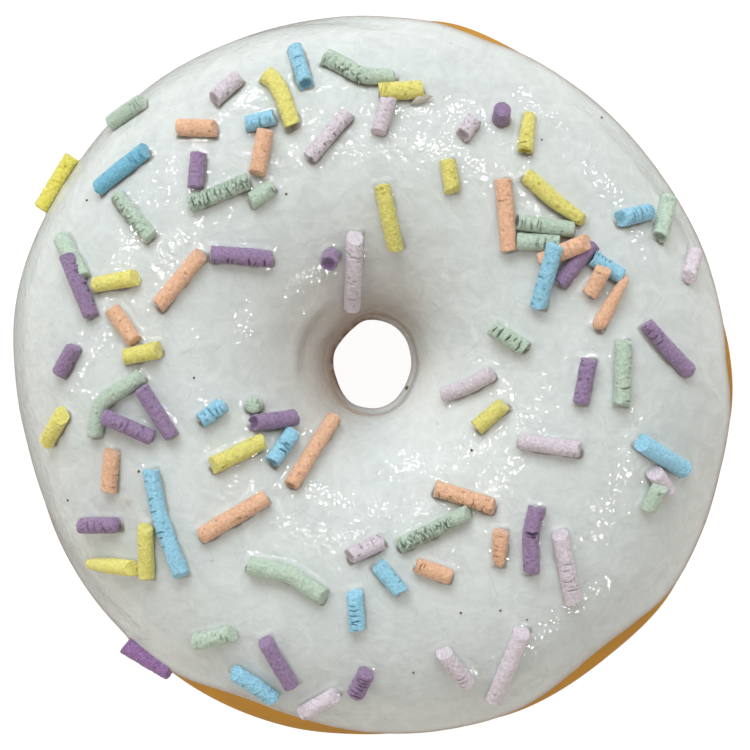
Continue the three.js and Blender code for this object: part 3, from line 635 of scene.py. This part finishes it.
def coat_thinness(points, along, left, turn):
    """How thin the coat is, with painted shade and light: 0 for whole, 1 for bare, more for darker painted shade on
    the hole's wall away from the main light, and below 0 for painted light, paler, on the wall facing it.
    """
    # down the hole's wall: brown where the coat runs thin, deepened into painted shade on the side away from the
    # main light and turned into painted light, paler, on the side facing it, where a darker line runs round the rim
    # with a paler ring of painted light inside it
    shaded_wall = 0.5 + 0.5 * np.cos(np.radians(turn - SHADED_WALL_BEARING))
    in_hole = 0.9 * (1 - 1.6 * (1 - shaded_wall) ** 2) * bell(left, 15)
    rim_line = 0.75 * bell(left - RIM_LINE, 0.7) - 0.3 * bell(left - 5.5, 2)
    in_hole += (1 - shaded_wall) * rim_line
    # painted shade in streaks: darker brown down the wall on the side away from the main light
    down = to_space(turn, np.full(turn.shape, 9.0), 0.12 * points[..., 2])
    streak = np.clip(0.5 + 1.6 * noise_at(down, 1.3, 6), 0, 1)
    in_hole += 0.9 * np.clip(2 * shaded_wall - 0.9, 0, 1) * streak * bell(np.maximum(left - 4, 0), 2.4)
    # brown at the outer edge where the coat runs thin, partly painted shade there; painted shade low on the ring's
    # side; and a brown smear
    at_edge = 0.5 * bell(along, 0.8)
    painted_shade_on_side = 0.4 * np.clip((19.5 - points[..., 2]) / 2.5, 0, 1) * (along < along[:, -1:] / 2)
    smear = np.hypot(points[..., 0] - STAIN[0], points[..., 1] - STAIN[1])
    stain = 0.3 * bell(smear, 0.6) + 0.1 * bell(smear, 2.6)
    outside = np.maximum(at_edge, painted_shade_on_side) + stain
    return np.clip(np.where(outside > 0.01, np.maximum(in_hole, outside), in_hole), -1, 1.6)


def lip(a, b, edge, before):
    """Rows of a rounded lip round from a to b, bowed the way that the coat runs out over its edge."""
    out = unit(edge - before)
    share = (np.arange(1, LIP_ROWS + 1) / (LIP_ROWS + 1))[None, :, None]
    bow = 0.45 * np.linalg.norm(b - a, axis=-1)[:, None, None] * np.sin(np.pi * share)
    return a[:, None] * (1 - share) + b[:, None] * share + out[:, None] * bow


def make_icing(material, laid):
    """The coat from its outer edge over the crown into the hole, lined underneath, as one closed skin."""
    bearing = (np.arange(AROUND) / AROUND * 360)[:, None]
    skin, lining = section_at(bearing), section_at(bearing, ICING_SIDE + SEATING, ICING_TOP + SEATING)
    rim = to_space(bearing[:, 0], np.full(AROUND, 50.0), np.zeros(AROUND))
    wander = 0.1 * noise_at(rim, 7, 2) + 0.06 * noise_at(rim, 2.6, 5)
    edge = curve_through(OUTER_EDGE, bearing) + wander[:, None]
    start, stop = phase_at_height(skin, edge), 180 - phase_at_height(skin, np.array(INNER_EDGE))
    t = np.linspace(0, 1, ICING_ROWS)[None, :]
    r, z = section_point(skin, start + (stop - start) * (0.8 * t + 0.2 * t * t))
    points = to_space(bearing, r, z)

    step = np.linalg.norm(np.diff(points, axis=1), axis=-1)
    along = np.concatenate([np.zeros((AROUND, 1)), np.cumsum(step, 1)], 1)
    left = along[:, -1:] - along
    turn = np.degrees(np.arctan2(points[..., 1] - HOLE_SHIFT, points[..., 0]))
    foot, shadow_side = distance_to_strands(points.reshape(-1, 3), laid)
    foot = foot.reshape(along.shape)
    # weight of the painted contact shadow: strongest on the side of a strand away from the main light
    gathered = np.clip(0.45 + 0.75 * shadow_side, 0.1, 1).reshape(along.shape)
    points = points + grid_normals(points) * coat_relief(points, along, left, turn, foot)[..., None]
    # thinness of the coat, with painted shade and painted light in it
    thin = coat_thinness(points, along, left, turn)

    # lining, from the hole's edge back to the outer edge, joined by rounded lips
    k = np.linspace(0, 1, LINING_ROWS)[None, :]
    r, z = section_point(lining, stop + (start - stop) * k)
    back = to_space(bearing, r, z)
    inner_lip = lip(points[:, -1], back[:, 0], points[:, -1], points[:, -3])
    outer_lip = lip(back[:, -1], points[:, 0], points[:, 0], points[:, 2])
    loop = np.concatenate([points, inner_lip, back, outer_lip], 1)
    rows = loop.shape[1]

    def on_loop(values, *rest):
        """Values of the coat, carried on over the lips and the lining."""
        return np.concatenate([values] + [np.full((AROUND, count), value) for count, value in rest], 1).reshape(-1)

    under = rows - ICING_ROWS
    return piece_from("icing_coat", loop.reshape(-1, 3), swept_faces(AROUND, rows).tolist(), material,
                      thinness=on_loop(thin, (LIP_ROWS + LINING_ROWS, 1.0), (LIP_ROWS, 0.5)),
                      foot=on_loop(foot, (under, FAR)), gathered=on_loop(gathered, (under, 0.0)))


# ---------------------------------------------------------------- finishes
def linear(hex_colour):
    """Linear colour from an sRGB hex value."""
    srgb = [int(hex_colour[i:i + 2], 16) / 255 for i in (1, 3, 5)]
    return tuple(c / 12.92 if c <= 0.04045 else ((c + 0.055) / 1.055) ** 2.4 for c in srgb) + (1.0,)


def nodes_for(tree):
    def add(kind, inputs=None, **settings):
        """One node with its settings; an input given as a socket or as a node, for its first output, is linked."""
        made = tree.nodes.new("ShaderNode" + kind)
        for key, value in settings.items():
            setattr(made, key, value)
        for key, value in (inputs or {}).items():
            if isinstance(value, bpy.types.Node):
                value = next(socket for socket in value.outputs if socket.enabled)
            if isinstance(value, bpy.types.NodeSocket):
                tree.links.new(value, made.inputs[key])
            else:
                made.inputs[key].default_value = value
        return made
    return add


def new_finish(name):
    """An empty material, what adds its nodes, and the places that its patterns follow."""
    material = bpy.data.materials.new(name)
    material.use_nodes = True
    material.node_tree.nodes.clear()
    add = nodes_for(material.node_tree)
    return material, add, add("TexCoord").outputs["Object"]


def glazed_icing():
    """White slip under a thick clear glaze: wet gloss, a milky depth, hairline crazing and dust in the skin."""
    material, add, place = new_finish("glazed_icing")
    cloud = add("TexNoise", {"Vector": place, "Scale": 1 / (14 * MM)})
    tint = add("Mix", {"Factor": cloud, "A": linear("#c9ccc8"), "B": linear("#d1d4d0")}, data_type="RGBA")
    # brush marks in the slip, 3 mm apart and fine as hair
    brush = add("TexNoise", {"Vector": place, "Scale": 1 / (3.2 * MM), "Detail": 6.0, "Roughness": 0.62,
                             "Distortion": 1.2})
    streak = add("MapRange", {"Value": brush, "From Min": 0.36, "From Max": 0.64, "To Min": 0.93, "To Max": 1.05})
    brushed = add("HueSaturation", {"Color": tint, "Value": streak})
    # crazing: long fine cracks some 7 mm apart, broken off where the glaze healed
    bent = add("TexNoise", {"Vector": place, "Scale": 1 / (5 * MM), "Detail": 4.0})
    pull = add("VectorMath", {0: bent.outputs["Color"], "Scale": 3.2 * MM}, operation="SCALE")
    moved = add("VectorMath", {0: place, 1: pull}, operation="ADD")
    net = add("TexVoronoi", {"Vector": moved, "Scale": 1 / (7 * MM)}, feature="DISTANCE_TO_EDGE")
    craze = add("MapRange", {"Value": net, "From Max": 0.012, "To Min": 1.0, "To Max": 0.0})
    healed = add("TexNoise", {"Vector": place, "Scale": 1 / (4.5 * MM), "Detail": 1.0})
    gaping = add("MapRange", {"Value": healed, "From Min": 0.5, "From Max": 0.62, "To Max": 0.2})
    cracks = add("Math", {0: craze, 1: gaping}, operation="MULTIPLY")
    crazed = add("Mix", {"Factor": cracks, "A": brushed, "B": linear("#8f918b")}, data_type="RGBA")
    # painted light, paler, on the hole's wall facing the main light and in a ring inside the rim; where the coat is
    # thin the brown body shows through; painted shade, brown, low on the ring's side and on the wall away from the
    # main light, darkest in streaks there
    thin = add("Attribute", attribute_name="thinness").outputs["Fac"]
    painted_light_in_hole = add("MapRange", {"Value": thin, "From Max": -0.5})
    with_painted_light = add("Mix", {"Factor": painted_light_in_hole, "A": crazed, "B": linear("#f4f1ea")}, data_type="RGBA")
    thin_and_shaded = add("MapRange", {"Value": thin, "To Max": 0.9})
    browned_and_shaded = add("Mix", {"Factor": thin_and_shaded, "A": with_painted_light, "B": linear("#946441")}, data_type="RGBA")
    painted_shade_in_hole = add("MapRange", {"Value": thin, "From Min": 0.9, "From Max": 1.6, "To Max": 0.85})
    with_painted_shade = add("Mix", {"Factor": painted_shade_in_hole, "A": browned_and_shaded, "B": linear("#4c392c")}, data_type="RGBA")
    # painted contact shadow: a dark brown line, here and there broken, where a strand meets the coat, mostly on its
    # side away from the main light
    foot = add("Attribute", attribute_name="foot").outputs["Fac"]
    broken = add("TexNoise", {"Vector": place, "Scale": 1 / (2.5 * MM), "Detail": 1.0})
    reach = add("Math", {0: broken, 1: foot}, operation="SUBTRACT")
    painted_contact_shadow = add("MapRange", {"Value": reach, "From Min": 0.06, "From Max": 0.34, "To Max": 0.8})
    gathered = add("Attribute", attribute_name="gathered").outputs["Fac"]
    painted_shadow_line = add("Math", {0: painted_contact_shadow, 1: gathered}, operation="MULTIPLY")
    with_painted_shadow = add("Mix", {"Factor": painted_shadow_line, "A": with_painted_shade, "B": linear("#6b5f52")}, data_type="RGBA")
    # low relief: a collar round each strand, brush strokes, dust, ripples of the poured coat, wrinkles of its skin
    crept = add("MapRange", {"Value": foot, "From Max": 0.9, "To Min": 1.0, "To Max": 0.0},
                interpolation_type="SMOOTHSTEP")
    drawn = add("TexNoise", {"Vector": place, "Scale": 1 / (1.7 * MM), "Detail": 1.0, "Distortion": 1.6})
    dot = add("TexVoronoi", {"Vector": place, "Scale": 1 / (7 * MM)})
    dust = add("MapRange", {"Value": dot, "From Max": 0.05, "To Min": 1.0, "To Max": 0.0},
               interpolation_type="SMOOTHSTEP")
    ripple = add("TexNoise", {"Vector": place, "Scale": 1 / (2.6 * MM), "Detail": 1.0})
    wrinkle = add("TexNoise", {"Vector": place, "Scale": 1 / (0.95 * MM), "Detail": 0.5, "Distortion": 0.4})
    relief = add("Bump", {"Height": crept, "Distance": 0.12 * MM})
    for pattern, height in ((drawn, 0.035), (dust, 0.12), (ripple, 0.06), (wrinkle, 0.1)):
        relief = add("Bump", {"Height": pattern, "Distance": height * MM, "Normal": relief})
    # wet gloss, lost where the thinness value is high, mostly on the hole's wall away from the main light
    gloss = add("MapRange", {"Value": wrinkle, "To Min": 0.02, "To Max": 0.05})
    matt = add("MapRange", {"Value": thin, "From Min": 0.45, "From Max": 0.8, "To Max": 0.6})
    rough = add("Math", {0: gloss, 1: matt}, operation="ADD")
    glaze = add("BsdfPrincipled", {
        "Base Color": with_painted_shadow, "Roughness": rough, "IOR": 1.5, "Subsurface Weight": 0.25,
        "Subsurface Radius": (1.0, 0.95, 0.85), "Subsurface Scale": 0.8 * MM, "Normal": relief})
    add("OutputMaterial", {"Surface": glaze})
    return material


def body_clay():
    """Smooth clay body brushed with golden brown: satin, a little uneven where the brush overlapped."""
    material, add, place = new_finish("golden_body_clay")
    patch = add("TexNoise", {"Vector": place, "Scale": 1 / (9 * MM), "Detail": 4.0})
    colour = add("Mix", {"Factor": patch, "A": linear("#aa741f"), "B": linear("#ce952b")}, data_type="RGBA")
    grain = add("TexNoise", {"Vector": place, "Scale": 1 / (0.5 * MM), "Detail": 3.0})
    bump = add("Bump", {"Height": grain, "Distance": 0.03 * MM, "Strength": 0.7})
    rough = add("MapRange", {"Value": patch, "To Min": 0.42, "To Max": 0.62})
    clay = add("BsdfPrincipled", {"Base Color": colour, "Roughness": rough, "IOR": 1.5, "Specular IOR Level": 0.15,
                                  "Normal": bump})
    add("OutputMaterial", {"Surface": clay})
    return material


def strand_clay(name, light, dark):
    """Unfired modelling clay with its colour kneaded in: dead matt and grainy, with painted shade inside tears,
    pits and hollow ends.
    """
    material, add, place = new_finish(name + "_strand_clay")
    # the clay's grit, some 0.4 mm across
    grit = add("TexNoise", {"Vector": place, "Scale": 1 / (0.38 * MM), "Detail": 4.0, "Roughness": 0.65})
    sandy = add("MapRange", {"Value": grit, "From Min": 0.3, "From Max": 0.7})
    mottle = add("Mix", {"Factor": sandy, "A": linear(dark), "B": linear(light)}, data_type="RGBA")
    # each strand a little lighter, darker or stronger than the next
    tone = add("Attribute", attribute_name="tone").outputs["Fac"]
    rich = add("Attribute", attribute_name="rich").outputs["Fac"]
    level = add("Math", {0: tone, 1: 1.0}, operation="ADD")
    strength = add("Math", {0: rich, 1: 1.0}, operation="ADD")
    toned = add("HueSaturation", {"Color": mottle, "Value": level, "Saturation": strength})
    # painted shade: darker the deeper a tear, pit or hollow end goes
    torn = add("Attribute", attribute_name="torn").outputs["Fac"]
    painted_shade_in_tears = add("MapRange", {"Value": torn, "From Max": 0.22, "To Max": 0.8})
    shaded_clay = add("HueSaturation", {"Color": toned, "Saturation": 1.25, "Value": 0.45})
    colour = add("Mix", {"Factor": painted_shade_in_tears, "A": toned, "B": shaded_clay}, data_type="RGBA")
    bump = add("Bump", {"Height": grit, "Distance": 0.3 * MM, "Strength": 0.9})
    clay = add("BsdfPrincipled", {
        "Base Color": colour, "Roughness": 0.85, "IOR": 1.45, "Specular IOR Level": 0.1, "Sheen Weight": 0.3,
        "Sheen Roughness": 0.45, "Normal": bump})
    add("OutputMaterial", {"Surface": clay})
    return material


def fired_crumb(name, light, dark):
    """Dry fired crumb without glaze: matt, a little mottled."""
    material, add, place = new_finish(name)
    grain = add("TexNoise", {"Vector": place, "Scale": 1 / (0.5 * MM)})
    colour = add("Mix", {"Factor": grain, "A": linear(dark), "B": linear(light)}, data_type="RGBA")
    crumb = add("BsdfPrincipled", {"Base Color": colour, "Roughness": 0.7, "IOR": 1.5})
    add("OutputMaterial", {"Surface": crumb})
    return material


# ---------------------------------------------------------------- the doughnut
CLAYS = {
    "yellow": ("#ede288", "#cabf61"),
    "blue": ("#a7d7eb", "#80b3c8"),
    "green": ("#c7d5c4", "#a1b29e"),
    "violet": ("#a58cab", "#826a89"),
    "pink": ("#e2d6dc", "#bfb2b9"),
    "orange": ("#f1c3a3", "#d09e7b"),
}

dough = make_dough(body_clay())
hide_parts("dough")
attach(dough, "root")

laid = [(colour, strand_path(run), looks) for colour, runs in STRANDS.items() for run, looks in runs]
laid += [(colour, smooth_curve(np.array(ends, float), 40), looks) for colour, ends, looks in SIDE_STRANDS]

icing = make_icing(glazed_icing(), laid)
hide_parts("icing")
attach(icing, "root")

toppings = []
for colour, (light, dark) in CLAYS.items():
    points, faces, crisp, values = joined(
        strand_skin(path, number + 1, **looks)
        for number, (its_colour, path, looks) in enumerate(laid) if its_colour == colour)
    clay = strand_clay(colour, light, dark)
    toppings.append(piece_from(colour + "_strands", points, faces, clay, crisp, **values))
points, faces, _, _ = joined(speck(x, y, size, number) for number, (x, y, size) in enumerate(SPECKS))
toppings.append(piece_from("burnt_specks", points, faces, fired_crumb("burnt_speck", "#4a3c30", "#6a5a4a")))
points, faces = flake(CHIP)
toppings.append(piece_from("glaze_chip", points, faces, fired_crumb("glaze_chip", "#cbc4b8", "#b5ab9c")))
for piece in toppings:
    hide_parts("icing")
    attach(piece, "root")

# ---------------------------------------------------------------- floor, light and camera
REACH = 2  # of the floor to each side, in metres
floor_mesh = bpy.data.meshes.new("floor")
floor_mesh.from_pydata([(-REACH, -REACH, 0), (REACH, -REACH, 0), (REACH, REACH, 0), (-REACH, REACH, 0)], [],
                       [(0, 1, 2, 3)])
floor = placed("floor", floor_mesh)
floor_finish, add, _ = new_finish("pale_floor")
pale = add("BsdfPrincipled", {
    "Base Color": linear("#5c5c5c"), "Roughness": 0.9, "Emission Color": (1, 1, 1, 1), "Emission Strength": 0.95})
add("OutputMaterial", {"Surface": pale})
floor_mesh.materials.append(floor_finish)
floor.visible_diffuse = floor.visible_glossy = False  # the floor is seen, but throws no light back up

# A dim soft room above, light thrown back by the table all round, and nothing from straight below
ROOM = [(0.18, (0.34, 0.32, 0.29)), (0.26, (1.16, 1.1, 1.02)), (0.48, (1.16, 1.1, 1.02)), (0.52, (0.6, 0.58, 0.55)),
        (1.0, (0.6, 0.58, 0.55))]
world = bpy.data.worlds.new("studio")
world.use_nodes = True
bpy.context.scene.world = world
studio, add = world.node_tree, nodes_for(world.node_tree)
way = add("SeparateXYZ", {"Vector": add("TexCoord").outputs["Generated"]})
rise = add("MapRange", {"Value": way.outputs["Z"], "From Min": -1.0})
room = add("ValToRGB", {"Fac": rise})
while len(room.color_ramp.elements) < len(ROOM):
    room.color_ramp.elements.new(0.5)
for mark, (position, light) in zip(room.color_ramp.elements, ROOM):
    mark.position, mark.color = position, (*light, 1)
studio.links.new(room.outputs["Color"], studio.nodes["Background"].inputs["Color"])

LAMP_DISTANCE = 1.4
AIM = Vector((0, 0, 0.03))
DAYLIGHT, WARM_WALL, SKY = (0.87, 0.97, 1.05), (1.0, 0.97, 0.93), (0.86, 0.97, 1.1)
# Small panes that only the glaze mirrors: azimuth, elevation, size in metres, power in watts
PANES = [
    (107, 27, 0.055, 0.9), (115, 26, 0.06, 1.1), (100, 28, 0.045, 0.6), (129, 41, 0.05, 0.8), (145, 45, 0.05, 0.7),
    (139, 71, 0.065, 1.5), (164, 54, 0.06, 1.2), (180, 33, 0.06, 1.2), (88, 73, 0.055, 0.9), (57, 76, 0.055, 0.9),
    (66, 50, 0.08, 2.2), (85, 54, 0.05, 0.8), (107, 58, 0.045, 0.6), (160, 48, 0.04, 0.45), (313, 33, 0.05, 0.6),
    (297, 30, 0.06, 1.2), (339, 53, 0.05, 0.7), (36, 19, 0.06, 1.2), (53, 10, 0.05, 0.8)]


def panel(name, azimuth, elevation, size, power, colour=(1, 1, 1), mirrored=False):
    """A square light that faces the doughnut; it throws light, or is only mirrored in the glaze."""
    light = bpy.data.lights.new(name, "AREA")
    light.size, light.energy, light.color = size, power, colour
    lamp = placed(name, light)
    a, e = math.radians(azimuth), math.radians(elevation)
    lamp.location = (LAMP_DISTANCE * math.cos(e) * math.cos(a), LAMP_DISTANCE * math.cos(e) * math.sin(a),
                     AIM.z + LAMP_DISTANCE * math.sin(e))
    lamp.rotation_euler = (AIM - lamp.location).to_track_quat("-Z", "Y").to_euler()
    lamp.visible_camera = False
    lamp.visible_glossy, lamp.visible_diffuse = mirrored, not mirrored


panel("big_window", 110, 40, 0.8, 11.8, DAYLIGHT)
panel("side_window", 70, 50, 0.8, 5.0, DAYLIGHT)
panel("west_wall", 190, 35, 0.8, 1.4, WARM_WALL)
panel("south_west_wall", 228, 28, 0.8, 0.9, WARM_WALL)
for number, (azimuth, elevation, size, power) in enumerate(PANES):
    panel("pane_%d" % number, azimuth, elevation, size, power, mirrored=True)
panel("sky_pane", 108, 22, 0.16, 1.1, SKY, mirrored=True)
panel("far_pane", 296, 27, 0.11, 0.7, SKY, mirrored=True)

SENSOR = 36  # millimetres
IMAGE_WIDTH, FOCAL_LENGTH = 750, 3345  # pixels
EYE = (0.35, 0.07, 480)  # millimetres, looking straight down
camera_data = bpy.data.cameras.new("camera")
camera_data.sensor_width = SENSOR
camera_data.lens = FOCAL_LENGTH / IMAGE_WIDTH * SENSOR
camera = placed("camera", camera_data)
camera.location = [c * MM for c in EYE]
bpy.context.scene.camera = camera
bpy.context.scene.view_settings.view_transform = "Standard"
